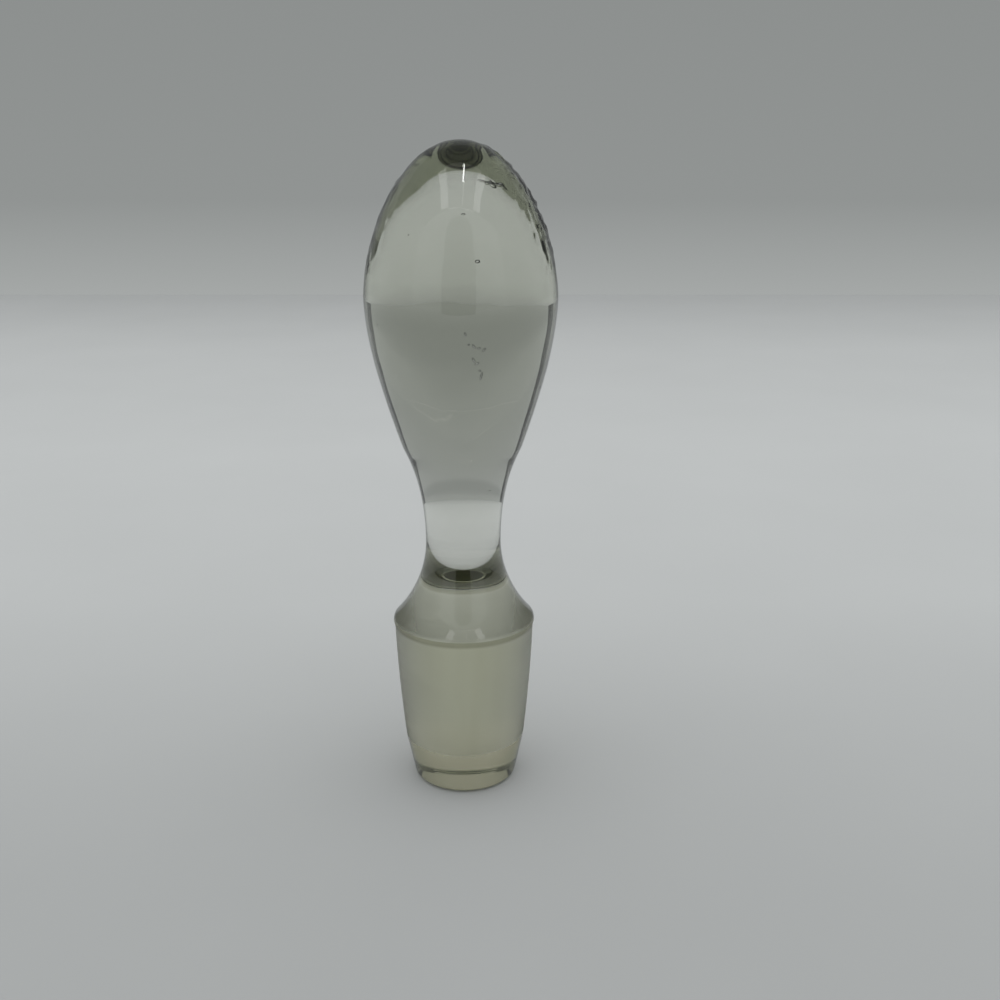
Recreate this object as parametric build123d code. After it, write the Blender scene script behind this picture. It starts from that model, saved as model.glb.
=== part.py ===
from build123d import *
import os
from math import acos, cos, radians, sin, tan

# Solid glass bottle stopper, pressed and fire-polished in one piece, with a ground plug.
# Frame: +Z up, origin at the centre of the flat foot, axis of revolution on Z. Millimetres.
# It stands on the small end of its plug, with the egg-shaped finial at the top.

# --- driving dimensions -------------------------------------------------------------
OVERALL_HEIGHT = 113.0

FINIAL_RADIUS = 16.2         # widest part of the egg-shaped finial
FINIAL_HEIGHT = 87.7         # height of that widest part
CROWN_TOP_REACH = 9.5        # how far the crown stays level out from the tip
CROWN_SIDE_REACH = 10.5      # how far the crown stays upright above the widest part
BELLY_REACH = 6.9            # how far the belly stays upright below the widest part

TURN_RADIUS = 10.4           # where the finial's outline turns from convex to concave
TURN_HEIGHT = 62.8
TURN_LEAN = 19.1             # degrees between the outline and the axis at that place
TURN_REACH_UP = 9.8
TURN_REACH_DOWN = 1.6

NECK_RADIUS = 6.6            # narrowest part of the neck
NECK_HEIGHT = 45.4
NECK_REACH_UP = 10.9
NECK_REACH_DOWN = 6.7

SHOULDER_SLOPE = 46.4        # degrees below level where the flared neck meets the bead
SHOULDER_REACH = 3.0
BEAD_RADIUS = 12.6           # widest part of the rounded bead at the shoulder
BEAD_HEIGHT = 30.6
BEAD_ROUNDING = 1.15         # radius of the bead's own section

GROUND_TOP_RADIUS = 12.4     # tapered zone that was ground to fit the bottle's mouth
GROUND_FOOT_RADIUS = 10.73
GROUND_FOOT_HEIGHT = 7.5
GROUND_BARREL = 0.22         # hand grinding leaves the taper slightly barrelled

FOOT_SLOPE = 11.6            # degrees between the unground end and the axis
FOOT_ROUNDING = 1.3          # fire-polished edge around the flat foot


def at(radius, height):
    """A point of the outline, in the XZ plane."""
    return Vector(radius, 0, height)


def finial_outline():
    """Tip to neck: crown, belly and the concave stretch down to the narrowest place."""
    lean = radians(TURN_LEAN)
    up = Vector(sin(lean), 0, cos(lean))
    tip = at(0, OVERALL_HEIGHT)
    widest = at(FINIAL_RADIUS, FINIAL_HEIGHT)
    turn = at(TURN_RADIUS, TURN_HEIGHT)
    neck = at(NECK_RADIUS, NECK_HEIGHT)
    crown = Bezier(
        tip,
        tip + Vector(CROWN_TOP_REACH, 0, 0),
        widest + Vector(0, 0, CROWN_SIDE_REACH),
        widest,
    )
    belly = Bezier(widest, widest - Vector(0, 0, BELLY_REACH), turn + up * TURN_REACH_UP, turn)
    waist = Bezier(turn, turn - up * TURN_REACH_DOWN, neck + Vector(0, 0, NECK_REACH_UP), neck)
    return [crown, belly, waist]


def shoulder_outline():
    """Neck to the top edge of the ground zone: the flare and the rounded bead."""
    slope = radians(SHOULDER_SLOPE)
    outward = Vector(cos(slope), 0, -sin(slope))
    centre = at(BEAD_RADIUS - BEAD_ROUNDING, BEAD_HEIGHT)
    neck = at(NECK_RADIUS, NECK_HEIGHT)
    bead_top = centre + Vector(sin(slope), 0, cos(slope)) * BEAD_ROUNDING
    bead_side = centre + Vector(BEAD_ROUNDING, 0, 0)
    bead_foot = ground_top()
    flare = Bezier(
        neck,
        neck - Vector(0, 0, NECK_REACH_DOWN),
        bead_top - outward * SHOULDER_REACH,
        bead_top,
    )
    bead = ThreePointArc(bead_top, bead_side, bead_foot)
    return [flare, bead]


def ground_top():
    """Where the bead curls in to meet the ground zone."""
    inset = BEAD_RADIUS - GROUND_TOP_RADIUS
    curl = acos(1 - inset / BEAD_ROUNDING)
    return at(GROUND_TOP_RADIUS, BEAD_HEIGHT - BEAD_ROUNDING * sin(curl))


def plug_outline():
    """Top of the ground zone to the centre of the foot."""
    slope = radians(FOOT_SLOPE)
    top = ground_top()
    foot = at(GROUND_FOOT_RADIUS, GROUND_FOOT_HEIGHT)
    middle = (top + foot) / 2 + Vector(GROUND_BARREL, 0, 0)
    ground = ThreePointArc(top, middle, foot)

    # The foot's edge is an arc tangent to the sloping end zone and to the flat foot.
    corner = at(GROUND_FOOT_RADIUS - GROUND_FOOT_HEIGHT * tan(slope), 0)
    setback = FOOT_ROUNDING * tan((radians(90) - slope) / 2)
    arc_top = corner + Vector(sin(slope), 0, cos(slope)) * setback
    arc_foot = corner - Vector(setback, 0, 0)
    end_zone = Line(foot, arc_top)
    edge = TangentArc(arc_top, arc_foot, tangent=arc_top - foot)
    flat = Line(arc_foot, at(0, 0))
    return [ground, end_zone, edge, flat]


def make_stopper():
    """One solid turned about Z from the outline."""
    axis = Line(at(0, 0), at(0, OVERALL_HEIGHT))
    edges = finial_outline() + shoulder_outline() + plug_outline() + [axis]
    half_section = Face(Wire(edges))
    stopper = revolve(half_section, axis=Axis.Z)
    stopper.label = "stopper"
    stopper.color = Color(0.66, 0.70, 0.62, 0.5)
    return stopper


def main():
    os.makedirs("parts", exist_ok=True)
    stopper = make_stopper()
    export_step(stopper, "parts/stopper.step")
    print(f"stopper: {stopper.volume / 1000:.2f} cm3, height {stopper.bounding_box().size.Z:.2f} mm")


main()
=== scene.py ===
import math
import random

import bpy
from bpy.props import FloatProperty, FloatVectorProperty, IntProperty, PointerProperty
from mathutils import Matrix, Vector


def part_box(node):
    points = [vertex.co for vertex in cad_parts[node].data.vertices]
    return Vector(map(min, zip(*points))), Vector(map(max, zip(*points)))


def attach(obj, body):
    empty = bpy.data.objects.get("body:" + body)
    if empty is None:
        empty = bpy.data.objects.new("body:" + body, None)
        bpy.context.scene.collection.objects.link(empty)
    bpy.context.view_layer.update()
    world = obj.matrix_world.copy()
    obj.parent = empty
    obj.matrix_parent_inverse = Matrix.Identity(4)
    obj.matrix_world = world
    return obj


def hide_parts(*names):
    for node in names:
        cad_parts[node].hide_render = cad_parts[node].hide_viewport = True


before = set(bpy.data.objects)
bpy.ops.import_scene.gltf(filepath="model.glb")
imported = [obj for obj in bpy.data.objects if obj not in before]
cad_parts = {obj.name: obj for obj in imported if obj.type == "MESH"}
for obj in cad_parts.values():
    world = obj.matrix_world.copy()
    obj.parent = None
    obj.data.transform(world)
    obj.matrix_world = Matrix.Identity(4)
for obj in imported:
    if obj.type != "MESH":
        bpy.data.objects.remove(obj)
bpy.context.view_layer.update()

# A solid glass bottle stopper: egg-shaped finial, waisted neck, rounded shoulder bead and a ground plug.
# The scene is in metres in the frame's own axes: +Z up, the foot's centre at the origin, the front at -Y.

bl_info = {
    "name": "Glass stopper",
    "version": (1, 0, 0),
    "blender": (4, 5, 0),
    "location": "3D View > Sidebar > Stopper",
    "description": "Models a solid glass bottle stopper with a ground plug, and its studio",
    "category": "Add Mesh",
}

MM = 0.001
# The high corner of the CAD solid's box: its Z is the stopper's height and its X the widest radius.
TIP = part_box("stopper")[1]
BODY_NAME = "stopper_glass"


# --- settings a user would change ------------------------------------------------------------------


def length(name, description, millimetres):
    """A length setting, given in millimetres and held in metres."""
    return FloatProperty(
        name=name, description=description, default=millimetres * MM, unit="LENGTH", precision=5
    )


def angle(name, description, degrees):
    """An angle setting, given in degrees."""
    return FloatProperty(
        name=name, description=description, default=math.radians(degrees), unit="ROTATION"
    )


def colour(name, description, hex_code):
    """A colour setting, given as an sRGB hex code and held as linear light."""
    return FloatVectorProperty(
        name=name, description=description, default=linear(hex_code), size=3, subtype="COLOR", min=0, max=1
    )


def linear(hex_code):
    """An sRGB hex code as linear red, green and blue."""
    values = [int(hex_code[i : i + 2], 16) / 255 for i in (1, 3, 5)]
    return tuple(v / 12.92 if v <= 0.04045 else ((v + 0.055) / 1.055) ** 2.4 for v in values)


class StopperShape(bpy.types.PropertyGroup):
    """Driving sizes of the stopper's outline."""

    height: FloatProperty(
        name="Height", description="Foot to tip of the finial", default=TIP.z, unit="LENGTH", precision=5
    )
    finial_radius: FloatProperty(
        name="Finial radius", description="Widest part of the finial", default=TIP.x, unit="LENGTH"
    )
    finial_height: length("Finial height", "Height of the finial's widest part", 87.7)
    crown_top_reach: length("Crown top reach", "How far the crown stays level out from the tip", 9.5)
    crown_side_reach: length("Crown side reach", "How far the crown stays upright over the widest part", 10.5)
    seam_lean: angle("Seam lean", "How far each half leans in at the mould's parting line", 0.9)
    belly_reach: length("Belly reach", "How far the belly stays upright under the widest part", 6.9)
    turn_radius: length("Turn radius", "Radius where the outline turns from convex to concave", 10.4)
    turn_height: length("Turn height", "Height where the outline turns from convex to concave", 62.8)
    turn_lean: angle("Turn lean", "Angle between the outline and the axis at the turn", 19.1)
    turn_reach_up: length("Turn reach up", "How far the outline stays straight above the turn", 9.8)
    turn_reach_down: length("Turn reach down", "How far the outline stays straight below the turn", 1.6)
    neck_radius: length("Neck radius", "Narrowest part of the neck", 6.6)
    neck_height: length("Neck height", "Height of the narrowest part", 45.4)
    neck_reach_up: length("Neck reach up", "How far the neck stays upright above its narrowest part", 10.9)
    neck_reach_down: length("Neck reach down", "How far the neck stays upright below it", 6.7)
    shoulder_slope: angle("Shoulder slope", "Slope below level where the flare meets the bead", 46.4)
    shoulder_reach: length("Shoulder reach", "How far the flare stays straight above the bead", 3.0)
    bead_radius: length("Bead radius", "Widest part of the shoulder bead", 12.6)
    bead_height: length("Bead height", "Height of the bead's widest part", 30.6)
    bead_rounding: length("Bead rounding", "Radius of the bead's own section", 1.15)
    ground_top_radius: length("Ground top radius", "Radius at the top of the ground zone", 12.4)
    ground_foot_radius: length("Ground foot radius", "Radius at the foot of the ground zone", 10.73)
    ground_foot_height: length("Ground foot height", "Height of the foot of the ground zone", 7.5)
    ground_barrel: length("Ground barrel", "How far the ground zone bulges from a true taper", 0.22)
    foot_slope: angle("Foot slope", "Angle between the unground end and the axis", 11.6)
    foot_rounding: length("Foot rounding", "Fire-polished edge around the flat foot", 1.3)
    sides: IntProperty(name="Sides", description="Steps of the turned body", default=256, min=24, max=512)


class GlassLook(bpy.types.PropertyGroup):
    """Colour and finish of the glass."""

    through_colour: colour("Colour through", "What white light becomes through the stated depth", "#D9DBD1")
    through_depth: length("Depth for the colour", "Depth of glass that gives that colour", 25.0)
    refraction: FloatProperty(name="Refraction", description="Index of soda-lime glass", default=1.52)
    ground_roughness: FloatProperty(
        name="Ground roughness", description="Roughness of the ground zone", default=0.5, min=0, max=1
    )
    ground_tint: colour("Ground tint", "What grinding leaves in the matt skin", "#FAF9E7")
    ground_patch: colour("Ground patch", "Tint where the grinding bit deeper", "#E0DEC8")
    # Painted shade: a dark line in the crease where the ground band meets the bead.
    crease_painted_shade: colour("Edge tint", "Dark line where the grinding meets the bead", "#B5B39C")
    # Painted shade: the polished skin darkens where it is seen edge on.
    outline_painted_shade: colour("Outline tint", "Glass seen edge on", "#2E302A")
    # Painted shade: the clear glass round the plug darkens towards its sides.
    side_painted_shade: colour("Side tint", "Clear glass at the sides of the plug", "#A8A78E")
    # Painted shade rather than a stain: the unground end is darkened near the floor.
    end_painted_shade: colour("End tint", "Stain of the unground end", "#EEE8D2")
    # Painted shadow rather than a stain: the flat foot is darkened where it sits on the floor.
    foot_painted_shadow: colour("Foot tint", "Stain of the flat foot", "#E6E2C6")
    wander: length("Ground edge wander", "How far the lower edge of the ground zone wanders", 1.6)


class StudioLook(bpy.types.PropertyGroup):
    """The plain floor and walls, the lamp and the camera."""

    floor_colour: colour("Floor", "Plain pale floor", "#BEC1C1")
    wall_foot_colour: colour("Wall foot", "Wall where it meets the floor", "#A5A8A7")
    wall_low_colour: colour("Wall low", "Wall a little higher", "#9C9F9E")
    wall_colour: colour("Wall", "Wall at eye level", "#919493")
    wall_top_colour: colour("Wall top", "Wall high up, and the ceiling", "#878A89")
    room_behind: length("Room behind", "Stopper to the wall behind it", 667.0)
    room_before: length("Room in front", "Stopper to the wall in front of it", 700.0)
    room_side: length("Room side", "Stopper to the walls at its sides", 1020.0)
    room_height: length("Room height", "Height of the walls", 900.0)
    lamp_height: length("Lamp height", "Height of the ceiling lamp", 600.0)
    lamp_strength: FloatProperty(name="Lamp strength", description="Its tube's brightness", default=16.0)
    camera_distance: length("Camera distance", "Level distance from the stopper's axis", 200.5)
    camera_height: length("Camera height", "Height over the floor", 114.7)
    camera_side: length("Camera side", "How far the camera stands to the side", 6.48)
    camera_pitch: angle("Camera pitch", "How far the camera looks down", 17.23)
    camera_lens: FloatProperty(
        name="Camera lens", description="Focal length", default=43.2, subtype="DISTANCE_CAMERA"
    )


# --- small helpers -----------------------------------------------------------------------------------


def select_only(*objects):
    """Selects these objects, and makes the first one active."""
    bpy.ops.object.select_all(action="DESELECT")
    for each in objects:
        each.select_set(True)
    bpy.context.view_layer.objects.active = objects[0]


def in_edit_mode(edit):
    """Runs edit() in edit mode with the whole mesh selected."""
    bpy.ops.object.mode_set(mode="EDIT")
    bpy.ops.mesh.select_all(action="SELECT")
    edit()
    bpy.ops.object.mode_set(mode="OBJECT")


def add_node(tree, kind, inputs=None, **settings):
    """Adds a node with its settings. An input is a value, or an output socket to link."""
    made = tree.nodes.new(kind)
    for name, value in settings.items():
        setattr(made, name, value)
    for name, value in (inputs or {}).items():
        if isinstance(value, bpy.types.NodeSocket):
            tree.links.new(value, made.inputs[name])
        else:
            made.inputs[name].default_value = value
    return made


def map_range(tree, value, start, end, low=0, high=1, blend="LINEAR"):
    """A value taken from start..end to low..high, and held at low or high outside them."""
    made = add_node(
        tree,
        "ShaderNodeMapRange",
        {"Value": value, "From Min": start, "From Max": end, "To Min": low, "To Max": high},
        interpolation_type=blend,
    )
    return made.outputs[0]


def mix_colour(tree, factor, first, second):
    """A colour mix: the Mix node names its sockets alike for every type, so they go by number."""
    made = add_node(tree, "ShaderNodeMix", data_type="RGBA")
    for index, value in ((0, factor), (6, first), (7, second)):
        if isinstance(value, bpy.types.NodeSocket):
            tree.links.new(value, made.inputs[index])
        else:
            made.inputs[index].default_value = value
    return made.outputs[2]


def colour_ramp(tree, factor, stops):
    """A ramp through (position, colour) stops."""
    ramp = add_node(tree, "ShaderNodeValToRGB", {"Fac": factor})
    elements = ramp.color_ramp.elements
    while len(elements) < len(stops):
        elements.new(1)
    for element, (position, shade) in zip(elements, stops):
        element.position = position
        element.color = (*shade, 1)
    return ramp.outputs["Color"]


def new_material(name):
    """An empty node material."""
    made = bpy.data.materials.new(name)
    made.use_nodes = True
    made.node_tree.nodes.clear()
    return made


# --- the body's outline ------------------------------------------------------------------------------


def at(radius, height):
    """A point of the outline, in the XZ plane."""
    return Vector((radius, 0, height))


def arc_handle(turn, radius):
    """How long a span's handles are for it to be an arc of this turn and radius."""
    return 4 / 3 * math.tan(turn / 4) * radius


def outline_spans(shape):
    """The outline from the tip down to the foot, as Bezier spans: start, two handles, end, steps."""
    level, upright = at(1, 0), at(0, 1)
    above_seam = at(-math.sin(shape.seam_lean), math.cos(shape.seam_lean))
    below_seam = at(-math.sin(shape.seam_lean), -math.cos(shape.seam_lean))
    lean = at(math.sin(shape.turn_lean), math.cos(shape.turn_lean))
    outward = at(math.cos(shape.shoulder_slope), -math.sin(shape.shoulder_slope))
    tip = at(0, shape.height)
    widest = at(shape.finial_radius, shape.finial_height)
    turn = at(shape.turn_radius, shape.turn_height)
    neck = at(shape.neck_radius, shape.neck_height)

    # The bead is one arc, from the flare's slope round to the top edge of the ground zone.
    bead_centre = at(shape.bead_radius - shape.bead_rounding, shape.bead_height)
    curl = math.acos(1 - (shape.bead_radius - shape.ground_top_radius) / shape.bead_rounding)
    bead_top = bead_centre + at(-outward.z, outward.x) * shape.bead_rounding
    ground_top = bead_centre + at(math.cos(curl), -math.sin(curl)) * shape.bead_rounding
    bead_turn = math.pi / 2 - shape.shoulder_slope + curl
    bead_reach = arc_handle(bead_turn, shape.bead_rounding)
    inward = at(-math.sin(curl), -math.cos(curl))

    # The flare runs straight into the bead's arc.
    flare_handle = bead_top - outward * shape.shoulder_reach

    # The ground zone bulges by the barrel at its middle, which moves 3/4 as far as the span's handles.
    ground_foot = at(shape.ground_foot_radius, shape.ground_foot_height)
    ground_step = (ground_foot - ground_top) / 3
    bulge = level * (shape.ground_barrel * 4 / 3)

    # The foot's edge is an arc tangent to the sloping end zone and to the flat foot.
    corner = at(shape.ground_foot_radius - shape.ground_foot_height * math.tan(shape.foot_slope), 0)
    foot_turn = math.pi / 2 - shape.foot_slope
    setback = shape.foot_rounding * math.tan(foot_turn / 2)
    up_slope = at(math.sin(shape.foot_slope), math.cos(shape.foot_slope))
    edge_top = corner + up_slope * setback
    edge_foot = corner - level * setback
    edge_reach = arc_handle(foot_turn, shape.foot_rounding)

    def straight(start, end, steps):
        return start, start.lerp(end, 1 / 3), start.lerp(end, 2 / 3), end, steps

    return [
        (tip, tip + level * shape.crown_top_reach, widest + above_seam * shape.crown_side_reach, widest, 52),
        (widest, widest + below_seam * shape.belly_reach, turn + lean * shape.turn_reach_up, turn, 34),
        (turn, turn - lean * shape.turn_reach_down, neck + upright * shape.neck_reach_up, neck, 30),
        (neck, neck - upright * shape.neck_reach_down, flare_handle, bead_top, 34),
        (bead_top, bead_top + outward * bead_reach, ground_top - inward * bead_reach, ground_top, 14),
        (ground_top, ground_top + ground_step + bulge, ground_foot - ground_step + bulge, ground_foot, 26),
        straight(ground_foot, edge_top, 8),
        (edge_top, edge_top - up_slope * edge_reach, edge_foot + level * edge_reach, edge_foot, 12),
        straight(edge_foot, at(0, 0), 6),
    ]


def add_span(start, start_handle, end_handle, end, steps):
    """One Bezier span as a mesh line of that many steps."""
    bpy.ops.curve.primitive_bezier_curve_add()
    span = bpy.context.object
    span.data.resolution_u = steps
    first, last = span.data.splines[0].bezier_points
    for point in (first, last):
        point.handle_left_type = point.handle_right_type = "FREE"
    first.handle_left, first.co, first.handle_right = start, start, start_handle
    last.handle_left, last.co, last.handle_right = end_handle, end, end
    bpy.ops.object.convert(target="MESH")
    return bpy.context.object


def turn_body(shape):
    """Spins the outline about Z into one closed body."""
    spans = [add_span(*span) for span in outline_spans(shape)]
    select_only(*spans)
    bpy.ops.object.join()
    body = bpy.context.object
    body.name = body.data.name = BODY_NAME
    weld = 1e-7

    def spin():
        bpy.ops.mesh.remove_doubles(threshold=weld)
        bpy.ops.mesh.spin(steps=shape.sides, angle=2 * math.pi, center=(0, 0, 0), axis=(0, 0, 1))
        bpy.ops.mesh.select_all(action="SELECT")
        bpy.ops.mesh.remove_doubles(threshold=weld)
        bpy.ops.mesh.normals_make_consistent(inside=False)

    in_edit_mode(spin)
    bpy.ops.object.shade_smooth()
    return body


def weigh(body, name, weight_at):
    """A vertex group whose weight is weight_at(place)."""
    group = body.vertex_groups.new(name=name)
    for vertex in body.data.vertices:
        group.add([vertex.index], weight_at(vertex.co), "REPLACE")


def ramp_up(value, start, end):
    """0 up to start, 1 from end, straight between."""
    return min(max((value - start) / (end - start), 0), 1)


def ripple(body, name, depth, size, group, contrast=1):
    """Pushes the skin in and out by a smooth noise, as a mould and a flame leave it."""
    texture = bpy.data.textures.new(name, "CLOUDS")
    texture.noise_scale = size
    texture.noise_depth = 1
    texture.contrast = contrast
    push = body.modifiers.new(name, "DISPLACE")
    push.texture = texture
    push.texture_coords = "LOCAL"
    push.strength = depth
    push.mid_level = 0.5
    push.vertex_group = group
    bpy.ops.object.modifier_apply(modifier=name)


# The ripples in the skin: how deep they are and how wide one is.
MOULD_RIPPLE = (0.10 * MM, 6 * MM)
CHILL_WRINKLE = (0.2 * MM, 1.5 * MM)
CHILL_CONTRAST = 4
# The chill wrinkles on the -X side of the crown, as a share of those on the +X side.
WEAK_SIDE = 0.4
# Where the chill wrinkles start and reach their full depth: 0 at the front, 1 at the side.
WRINKLES_START, WRINKLES_FULL = 0.66, 0.9

# Gas seeds in the glass: height, degrees round from the front towards +X, depth under the skin,
# then half width, half thickness, half height and tilt. Lengths in millimetres.
SEEDS = (
    (95.3, 12, 0.9, 0.42, 0.36, 0.3, 0),
    (102.3, 4, 0.8, 0.34, 0.22, 0.16, 0),
    (56.0, 38, 0.4, 0.32, 0.08, 0.06, 0),
    (84.6, -56, 0.5, 0.14, 0.1, 0.12, 0),
    (99.0, -34, 0.6, 0.12, 0.1, 0.1, 0),
)
# A scatter of small pits low on the finial: height, degrees round, half length before the stretch and tilt.
PITS = (
    (84.2, 4, 0.22, 70),
    (82.5, 6, 0.12, 20),
    (82.2, 9, 0.3, 60),
    (81.9, 12, 0.2, -20),
    (81.6, 15, 0.3, -45),
    (80.0, 9, 0.34, 65),
    (79.4, 11, 0.3, -30),
    (78.2, 13, 0.16, 10),
    (77.3, 14, 0.5, -75),
)
PIT_DEPTH = 0.35
PIT_STRETCH = 1.4
PIT_HALF_THICKNESS = 0.24
PIT_HALF_HEIGHT = 0.18
# The bruise on the crown: its place, its cracks, how thick they are, and the draw that scatters them.
BRUISE_HEIGHT, BRUISE_AROUND = 107.2, 25
CRACKS = 9
CRACK_HALF_THICKNESS = 0.3
BRUISE_DRAW = 7


def voids():
    """Every void in the glass, with its values in the order that SEEDS has."""
    flaws = list(SEEDS)
    for height, around, half_length, tilt in PITS:
        size = (half_length * PIT_STRETCH, PIT_HALF_THICKNESS, PIT_HALF_HEIGHT)
        flaws.append((height, around, PIT_DEPTH, *size, tilt))
    # The bruise: small cracks one after another, lower and further round, as if from one blow.
    chance = random.Random(BRUISE_DRAW)
    for step in range(CRACKS):
        height = BRUISE_HEIGHT - 0.16 * step + chance.uniform(-0.4, 0.4)
        around = BRUISE_AROUND + 2.4 * step + chance.uniform(-3, 3)
        half_width = chance.uniform(0.5, 1.0)
        half_height = chance.uniform(0.2, 0.42)
        depth = chance.uniform(0.4, 0.8)
        tilt = chance.uniform(-10, 60)
        flaws.append((height, around, depth, half_width, CRACK_HALF_THICKNESS, half_height, tilt))
    return flaws


def add_void(body, height, around, depth, half_width, half_thickness, half_height, tilt):
    """One closed void under the skin, with its faces turned towards the air inside it.

    Lengths are in millimetres and angles in degrees.
    """
    around = math.radians(around)
    outward = Vector((math.sin(around), -math.cos(around), 0))
    level = Vector((0, 0, height * MM))
    found, skin, normal, face = body.ray_cast(level + outward * TIP.x * 2, -outward)
    if not found:
        raise RuntimeError("no glass at this void's height")
    place, turn = skin - normal * depth * MM, (0, math.radians(tilt), around)
    bpy.ops.mesh.primitive_ico_sphere_add(subdivisions=3, radius=1, location=place, rotation=turn)
    void = bpy.context.object
    void.scale = (half_width * MM, half_thickness * MM, half_height * MM)
    bpy.ops.object.transform_apply(location=True, rotation=True, scale=True)
    in_edit_mode(bpy.ops.mesh.flip_normals)
    bpy.ops.object.shade_smooth()
    return void


class STOPPER_OT_body(bpy.types.Operator):
    """Turn the stopper's solid glass body from its outline"""

    bl_idname = "stopper.body"
    bl_label = "Glass body"

    def execute(self, context):
        shape = context.scene.stopper_shape
        body = turn_body(shape)

        def crown_weight(place):
            return ramp_up(place.z, shape.neck_height, shape.finial_height)

        # Chill wrinkles gather on both sides of the crown, and most on its +X side.
        def wrinkle_weight(place):
            side = abs(place.x) / (math.hypot(place.x, place.y) + MM)
            share = 1 if place.x > 0 else WEAK_SIDE
            high_up = ramp_up(place.z, shape.finial_height + 2 * MM, 97 * MM)
            return share * ramp_up(side, WRINKLES_START, WRINKLES_FULL) * high_up

        weigh(body, "crown", crown_weight)
        ripple(body, "mould_ripple", *MOULD_RIPPLE, "crown")
        weigh(body, "crown_sides", wrinkle_weight)
        ripple(body, "chill_wrinkle", *CHILL_WRINKLE, "crown_sides", CHILL_CONTRAST)
        select_only(body, *[add_void(body, *void) for void in voids()])
        bpy.ops.object.join()
        body.data.materials.append(glass_material(context.scene.stopper_glass, shape))
        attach(body, "root")
        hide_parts("stopper")
        return {"FINISHED"}


# --- the glass ---------------------------------------------------------------------------------------


def skin_colour(tree, look, shape, height, band, patches):
    """Tint of the skin: clear glass, the ground band, the end under it, the foot and the outline.

    The end, the foot, the bead crease, the plug's sides and the outline carry painted shade, and the
    ground band's sides painted light.
    """
    near_end = map_range(tree, height, shape.ground_foot_height + 3 * MM, shape.ground_foot_height)
    on_foot = map_range(tree, height, 0.3 * MM, 0.1 * MM)
    # Painted shade at the unground end, near the floor.
    clear = mix_colour(tree, near_end, (1, 1, 1, 1), (*look.end_painted_shade, 1))
    # Painted shadow on the flat foot, where it sits on the floor.
    clear = mix_colour(tree, on_foot, clear, (*look.foot_painted_shadow, 1))

    # The ground tint is patchy. It fades towards the sides by the angle of view, as painted light for the
    # look.
    facing = add_node(tree, "ShaderNodeLayerWeight").outputs["Facing"]
    patchy = map_range(tree, patches, 0.35, 0.65, high=0.5)
    # Painted light: the ground tint fades towards clear at the sides.
    painted_side_light = map_range(tree, facing, 0.15, 0.6, high=0.8)
    under_bead = map_range(tree, height, shape.bead_height - 1.1 * MM, shape.bead_height - 0.6 * MM)
    ground = mix_colour(tree, patchy, (*look.ground_tint, 1), (*look.ground_patch, 1))
    ground = mix_colour(tree, painted_side_light, ground, (1, 1, 1, 1))
    # Painted shade: a dark line in the crease just under the bead.
    ground = mix_colour(tree, under_bead, ground, (*look.crease_painted_shade, 1))

    # Two more tints go by the angle of view, are painted shade and only for the look too: the clear glass
    # round the plug darkens towards its sides, and the whole polished skin darkens at its outline.
    low_down = map_range(tree, height, shape.bead_height + 4.5 * MM, shape.bead_height + 2 * MM)
    turned = map_range(tree, facing, 0.28, 0.62)
    sides = add_node(tree, "ShaderNodeMath", {0: low_down, 1: turned}, operation="MULTIPLY").outputs[0]
    # Painted shade towards the plug's sides.
    clear = mix_colour(tree, sides, clear, (*look.side_painted_shade, 1))
    # Painted shade at the outline.
    outline = map_range(tree, facing, 0.66, 0.84)
    polished = mix_colour(tree, outline, clear, (*look.outline_painted_shade, 1))
    return mix_colour(tree, band, polished, ground)


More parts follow.
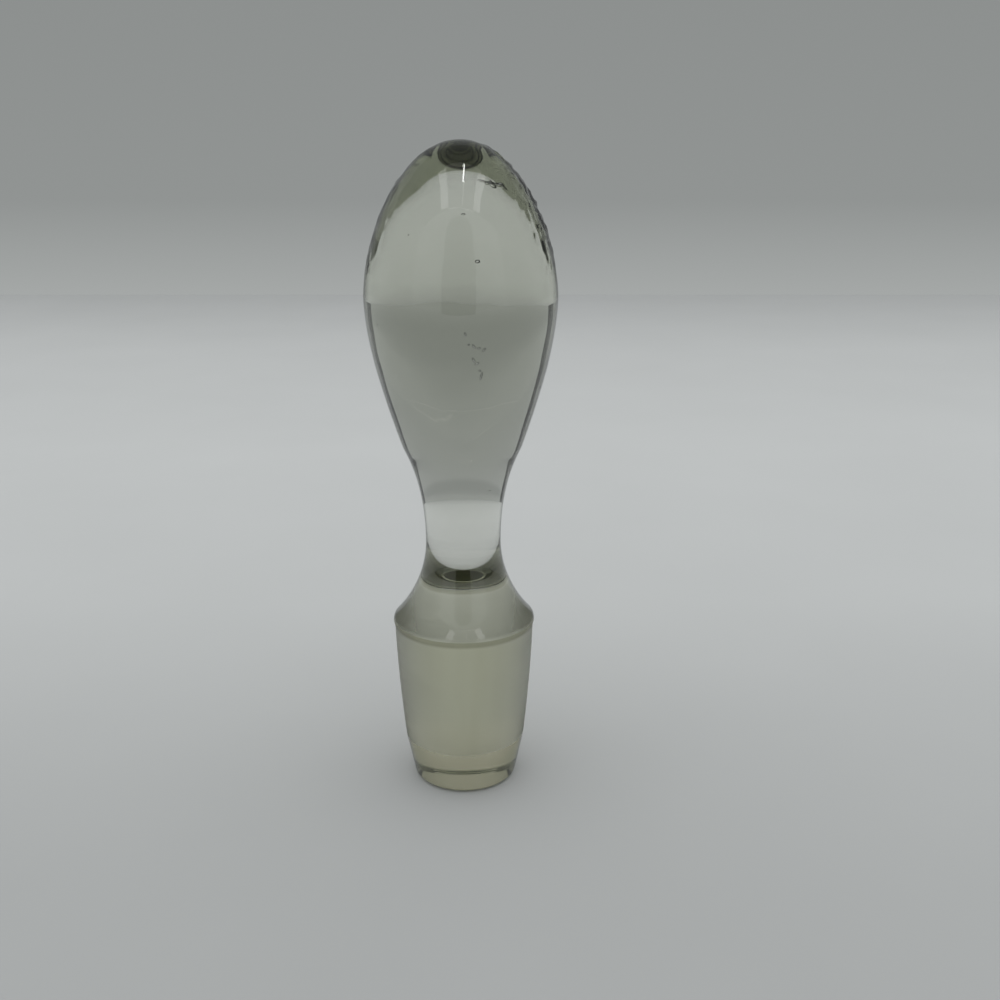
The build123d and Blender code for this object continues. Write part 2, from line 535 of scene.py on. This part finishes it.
def glass_material(look, shape):
    """Soda-lime glass, pressed and fire-polished, with a band ground matt by hand.

    The polished skin is mirror-bright, the olive tint stands for iron in the batch and deepens with
    the depth of glass, and the ground band blurs what is behind it.
    """
    material = new_material("soda_lime_glass_fire_polished_and_ground")
    tree = material.node_tree
    place = add_node(tree, "ShaderNodeTexCoord").outputs["Object"]
    height = add_node(tree, "ShaderNodeSeparateXYZ", {0: place}).outputs["Z"]

    # The lower edge of the ground band wanders around the plug.
    around = add_node(tree, "ShaderNodeMapping", {"Vector": place, "Scale": (1, 1, 0)}).outputs[0]
    wander_size = 14 * MM
    wander = add_node(
        tree, "ShaderNodeTexNoise", {"Vector": around, "Scale": 1 / wander_size, "Detail": 2.0}
    ).outputs[0]
    lifted = add_node(
        tree, "ShaderNodeMath", {0: wander, 1: -look.wander, 2: height}, operation="MULTIPLY_ADD"
    ).outputs[0]
    low = shape.ground_foot_height + 0.8 * MM - look.wander / 2
    soft_edge = 0.15 * MM
    over = map_range(tree, lifted, low - soft_edge, low + soft_edge, blend="SMOOTHSTEP")
    top = shape.bead_height + 0.3 * MM
    under = map_range(tree, height, top, top - 0.1 * MM, blend="SMOOTHSTEP")
    band = add_node(tree, "ShaderNodeMath", {0: over, 1: under}, operation="MULTIPLY").outputs[0]

    # The grinding left fine rings round the plug and a few broad upright patches.
    rings = add_node(tree, "ShaderNodeMapping", {"Vector": place, "Scale": (150, 150, 3500)}).outputs[0]
    rings = add_node(tree, "ShaderNodeTexNoise", {"Vector": rings, "Scale": 1.0, "Detail": 3.0}).outputs[0]
    uneven = 0.09
    smoothest, roughest = look.ground_roughness - uneven, look.ground_roughness + uneven
    matt = map_range(tree, rings, 0.3, 0.7, smoothest, roughest)
    roughness = add_node(tree, "ShaderNodeMath", {0: band, 1: matt}, operation="MULTIPLY").outputs[0]
    patch_size = 5 * MM
    patches = add_node(
        tree, "ShaderNodeTexNoise", {"Vector": around, "Scale": 1 / patch_size, "Detail": 2.0}
    ).outputs[0]

    skin = add_node(
        tree,
        "ShaderNodeBsdfPrincipled",
        {
            "Base Color": skin_colour(tree, look, shape, height, band, patches),
            "Transmission Weight": 1.0,
            "IOR": look.refraction,
            "Roughness": roughness,
        },
        distribution="GGX",
    )
    # Absorption per metre is (1 - colour) * density. Twice the greatest loss keeps the colour over a half.
    losses = [-math.log(c) / look.through_depth for c in look.through_colour]
    density = 2 * max(losses)
    depth = add_node(
        tree,
        "ShaderNodeVolumeAbsorption",
        {"Color": (*[1 - loss / density for loss in losses], 1), "Density": density},
    )
    add_node(tree, "ShaderNodeOutputMaterial", {"Surface": skin.outputs[0], "Volume": depth.outputs[0]})
    return material


# --- the studio --------------------------------------------------------------------------------------


def seen_rays(tree):
    """1 for a ray from the camera, from a gloss or through glass; 0 for a ray that only lights."""
    path = add_node(tree, "ShaderNodeLightPath")
    shown = add_node(
        tree,
        "ShaderNodeMath",
        {0: path.outputs["Is Camera Ray"], 1: path.outputs["Is Glossy Ray"]},
        operation="ADD",
    ).outputs[0]
    return add_node(
        tree,
        "ShaderNodeMath",
        {0: shown, 1: path.outputs["Is Transmission Ray"]},
        operation="ADD",
        use_clamp=True,
    ).outputs[0]


# Painted light on the floor and walls along the room, from in front of the stopper to behind it:
# distance behind the stopper in millimetres, and brightness, where 1 shows a colour as it is set.
PAINTED_LIGHT_ALONG_ROOM = (
    (-700, 1.3),
    (-400, 0.95),
    (-200, 0.72),
    (-40, 0.79),
    (6, 0.85),
    (83, 0.97),
    (232, 1.0),
    (443, 0.91),
    (667, 0.70),
)
# The walls are brightened by this, so that the wall behind the stopper has its own colours.
WALL_SHARE = PAINTED_LIGHT_ALONG_ROOM[-1][1]
# Glass and gloss show the side walls at this share, as painted shade,
# and the lamp's strips and pane at these strengths.
SIDE_WALL_PAINTED_SHADE = 0.62
STRIP_STRENGTH = 1.9
PANE_STRENGTH = 0.55


def falloff(tree, place):
    """Painted light: brightness by the place along Y, tuned for the look."""
    along = add_node(tree, "ShaderNodeSeparateXYZ", {0: place}).outputs["Y"]
    near, far = PAINTED_LIGHT_ALONG_ROOM[0][0], PAINTED_LIGHT_ALONG_ROOM[-1][0]
    part = map_range(tree, along, near * MM, far * MM)
    stops = [((y - near) / (far - near), (share,) * 3) for y, share in PAINTED_LIGHT_ALONG_ROOM]
    return colour_ramp(tree, part, stops)


def floor_material(look):
    """Matt board with a very faint mottle, and painted light that shades it along the room."""
    material = new_material("matt_board_with_painted_light")
    tree = material.node_tree
    place = add_node(tree, "ShaderNodeTexCoord").outputs["Object"]
    mottle_size, faint = 60 * MM, 0.03
    mottle = add_node(
        tree, "ShaderNodeTexNoise", {"Vector": place, "Scale": 1 / mottle_size, "Detail": 3.0}
    ).outputs[0]
    shade = map_range(tree, mottle, 0, 1, 1 - faint, 1 + faint)
    level = add_node(
        tree, "ShaderNodeMath", {0: shade, 1: falloff(tree, place)}, operation="MULTIPLY"
    ).outputs[0]
    paint = add_node(
        tree, "ShaderNodeVectorMath", {0: look.floor_colour, "Scale": level}, operation="SCALE"
    ).outputs[0]
    skin = add_node(tree, "ShaderNodeBsdfDiffuse", {"Color": paint})
    add_node(tree, "ShaderNodeOutputMaterial", {"Surface": skin.outputs[0]})
    return material


def wall_material(look, name, share):
    """A wall that glows with painted light, paler at its foot and shaded along the room.

    Glass and gloss show it at this share.
    """
    material = new_material(name)
    tree = material.node_tree
    place = add_node(tree, "ShaderNodeTexCoord").outputs["Object"]
    height = add_node(tree, "ShaderNodeSeparateXYZ", {0: place}).outputs["Z"]
    part = map_range(tree, height, 0, look.room_height)
    foot, low, high, top = look.wall_foot_colour, look.wall_low_colour, look.wall_colour, look.wall_top_colour

    def painted(level, *stops):
        levels = [(h * MM / look.room_height, tuple(level * c for c in shade)) for h, shade in stops]
        return colour_ramp(tree, part, levels)

    # The camera gets soft colours that run into the floor's. Glass and gloss get flatter ones, with a
    # crisp join, so they don't show quite what the camera sees. Rays that only light get white.
    soft = painted(1, (0, foot), (32, low), (66, high), (400, top))
    crisp = painted(share, (0, low), (60, high), (100, high), (140, low), (400, low))
    direct = add_node(tree, "ShaderNodeLightPath").outputs["Is Camera Ray"]
    level = add_node(
        tree, "ShaderNodeVectorMath", {0: falloff(tree, place), "Scale": 1 / WALL_SHARE}, operation="SCALE"
    ).outputs[0]
    seen = mix_colour(tree, direct, crisp, soft)
    paint = add_node(tree, "ShaderNodeVectorMath", {0: seen, 1: level}, operation="MULTIPLY").outputs[0]
    shown = mix_colour(tree, seen_rays(tree), (1, 1, 1, 1), paint)
    glow = add_node(tree, "ShaderNodeEmission", {"Color": shown})
    add_node(tree, "ShaderNodeOutputMaterial", {"Surface": glow.outputs[0]})
    return material


def plain_glow(name, shade, strength):
    """A plain surface of one brightness, lit or dark."""
    material = new_material(name)
    tree = material.node_tree
    glow = add_node(tree, "ShaderNodeEmission", {"Color": (*shade, 1), "Strength": strength})
    add_node(tree, "ShaderNodeOutputMaterial", {"Surface": glow.outputs[0]})
    return material


class STOPPER_OT_studio(bpy.types.Operator):
    """Set up the room, the lamp, the dark card, the soft light and the camera"""

    bl_idname = "stopper.studio"
    bl_label = "Studio"

    def execute(self, context):
        look = context.scene.stopper_studio
        add_room(look)
        add_lamp(look)
        add_dark_card(look)
        add_light(context.scene, look)
        add_camera(context.scene, look)
        context.scene.view_settings.view_transform = "Standard"
        return {"FINISHED"}


def keep_rays(piece, *kinds):
    """Only these kinds of ray see the piece."""
    for kind in ("camera", "diffuse", "glossy", "transmission", "shadow", "volume_scatter"):
        setattr(piece, "visible_" + kind, kind in kinds)


def add_panel(name, centre, size, material, turn=(0, 0, 0)):
    """A flat oblong panel."""
    bpy.ops.mesh.primitive_plane_add(size=1, location=centre, rotation=turn)
    panel = bpy.context.object
    panel.name = name
    panel.scale = (*size, 1)
    bpy.ops.object.transform_apply(location=True, rotation=True, scale=True)
    panel.data.materials.append(material)
    return panel


def add_room(look):
    """A plain floor and four plain walls."""
    middle = (look.room_behind - look.room_before) / 2
    size = (2 * look.room_side, look.room_behind + look.room_before)
    # The floor lies a hair under the foot, so that the two don't touch.
    gap = 0.02 * MM
    add_panel("floor", (0, middle, -gap), size, floor_material(look))

    paint, half_up = wall_material(look, "glowing_wall_with_painted_light", 1), look.room_height / 2
    shaded_side_wall_paint = wall_material(look, "glowing_side_wall_with_painted_shade", SIDE_WALL_PAINTED_SHADE)
    for y in (look.room_behind, -look.room_before):
        add_panel("wall", (0, y, half_up), (size[0], look.room_height), paint, (math.pi / 2, 0, 0))
    for x in (look.room_side, -look.room_side):
        turn = (math.pi / 2, 0, math.pi / 2)
        add_panel("wall", (x, middle, half_up), (size[1], look.room_height), shaded_side_wall_paint, turn)

    # Dark sheets of painted shade in the two far corners show as fine lines in the glass, and nowhere else.
    dark = plain_glow("corner_painted_shade", linear("#141615"), 1)
    inset, width = 70 * MM, 280 * MM
    for side in (-1, 1):
        place = (side * (look.room_side - inset), look.room_behind - inset, half_up)
        turn = (math.pi / 2, 0, -side * math.pi / 4)
        keep_rays(add_panel("corner", place, (width, look.room_height), dark, turn), "transmission")


def add_lamp(look):
    """A ceiling lamp over and in front of the stopper: a bright tube in a frame of pale strips.

    Only gloss and glass see it. The stopper's light comes from the walls and from all round.
    """
    tube = plain_glow("lamp_tube", (1, 1, 1), look.lamp_strength)
    strip = plain_glow("lamp_strip", (1, 1, 1), STRIP_STRENGTH)
    pane = plain_glow("lamp_pane", (1, 1, 1), PANE_STRENGTH)
    height = look.lamp_height
    # Each part's name, centre along X and Y, width and length, lift and finish, in millimetres.
    parts = [
        ("lamp_tube", (40, -100), (14, 170), 0, tube),
        ("lamp_tube_end", (42, -300), (10, 200), 0, strip),
        ("lamp_left", (-190, -220), (105, 380), 0, strip),
        ("lamp_right", (245, -220), (105, 380), 0, strip),
        ("lamp_end", (30, -430), (330, 10), 0, strip),
        ("lamp_pane", (30, -215), (400, 430), 2, pane),
    ]
    for name, (x, y), (wide, long), lift, material in parts:
        place = (x * MM, y * MM, height + lift * MM)
        panel = add_panel(name, place, (wide * MM, long * MM), material)
        keep_rays(panel, "glossy", "transmission")


def add_dark_card(look):
    """The dark shape of a camera and its stand, mirrored faintly in the front of the glass."""
    dark = plain_glow("dark_card", linear("#3A3C3C"), 1)
    half_width, shoulder, head = 160 * MM, 430 * MM, 110 * MM
    card_y, head_y = -450 * MM, -451 * MM
    place, turn = (0, card_y, shoulder / 2), (math.pi / 2, 0, 0)
    keep_rays(add_panel("dark_card", place, (2 * half_width, shoulder), dark, turn), "glossy")

    bpy.ops.mesh.primitive_circle_add(
        vertices=64, radius=1, fill_type="NGON", location=(0, head_y, shoulder), rotation=turn
    )
    top = bpy.context.object
    top.name = "dark_card_top"
    top.scale = (half_width, head, 1)
    bpy.ops.object.transform_apply(location=True, rotation=True, scale=True)
    top.data.materials.append(dark)
    keep_rays(top, "glossy")


def add_light(scene, look):
    """Even white light from all round. The camera, gloss and glass get a plain grey ceiling instead."""
    world = bpy.data.worlds.new("soft_ceiling")
    scene.world = world
    world.use_nodes = True
    tree = world.node_tree
    tree.nodes.clear()
    shown = mix_colour(tree, seen_rays(tree), (1, 1, 1, 1), (*look.wall_top_colour, 1))
    glow = add_node(tree, "ShaderNodeBackground", {"Color": shown})
    add_node(tree, "ShaderNodeOutputWorld", {"Surface": glow.outputs[0]})


def add_camera(scene, look):
    """The camera stands close, a little to the side, and looks down at the stopper."""
    place = (look.camera_side, -look.camera_distance, look.camera_height)
    bpy.ops.object.camera_add(location=place, rotation=(math.pi / 2 - look.camera_pitch, 0, 0))
    camera = bpy.context.object
    camera.data.lens = look.camera_lens
    camera.data.sensor_width = 36
    camera.data.clip_start = 0.001
    scene.camera = camera


# --- add-on ------------------------------------------------------------------------------------------


class STOPPER_PT_panel(bpy.types.Panel):
    """The stopper's steps, in order"""

    bl_label = "Glass stopper"
    bl_idname = "STOPPER_PT_panel"
    bl_space_type = "VIEW_3D"
    bl_region_type = "UI"
    bl_category = "Stopper"

    def draw(self, context):
        for step in STEPS:
            self.layout.operator(step.bl_idname)


STEPS = (STOPPER_OT_body, STOPPER_OT_studio)
SETTINGS = {"stopper_shape": StopperShape, "stopper_glass": GlassLook, "stopper_studio": StudioLook}
CLASSES = (*SETTINGS.values(), *STEPS, STOPPER_PT_panel)


def register():
    for each in CLASSES:
        bpy.utils.register_class(each)
    for name, group in SETTINGS.items():
        setattr(bpy.types.Scene, name, PointerProperty(type=group))


def unregister():
    for name in SETTINGS:
        delattr(bpy.types.Scene, name)
    for each in reversed(CLASSES):
        bpy.utils.unregister_class(each)


def main():
    """Builds the stopper and its studio."""
    register()
    bpy.ops.stopper.body()
    bpy.ops.stopper.studio()


if __name__ == "__main__":
    main()
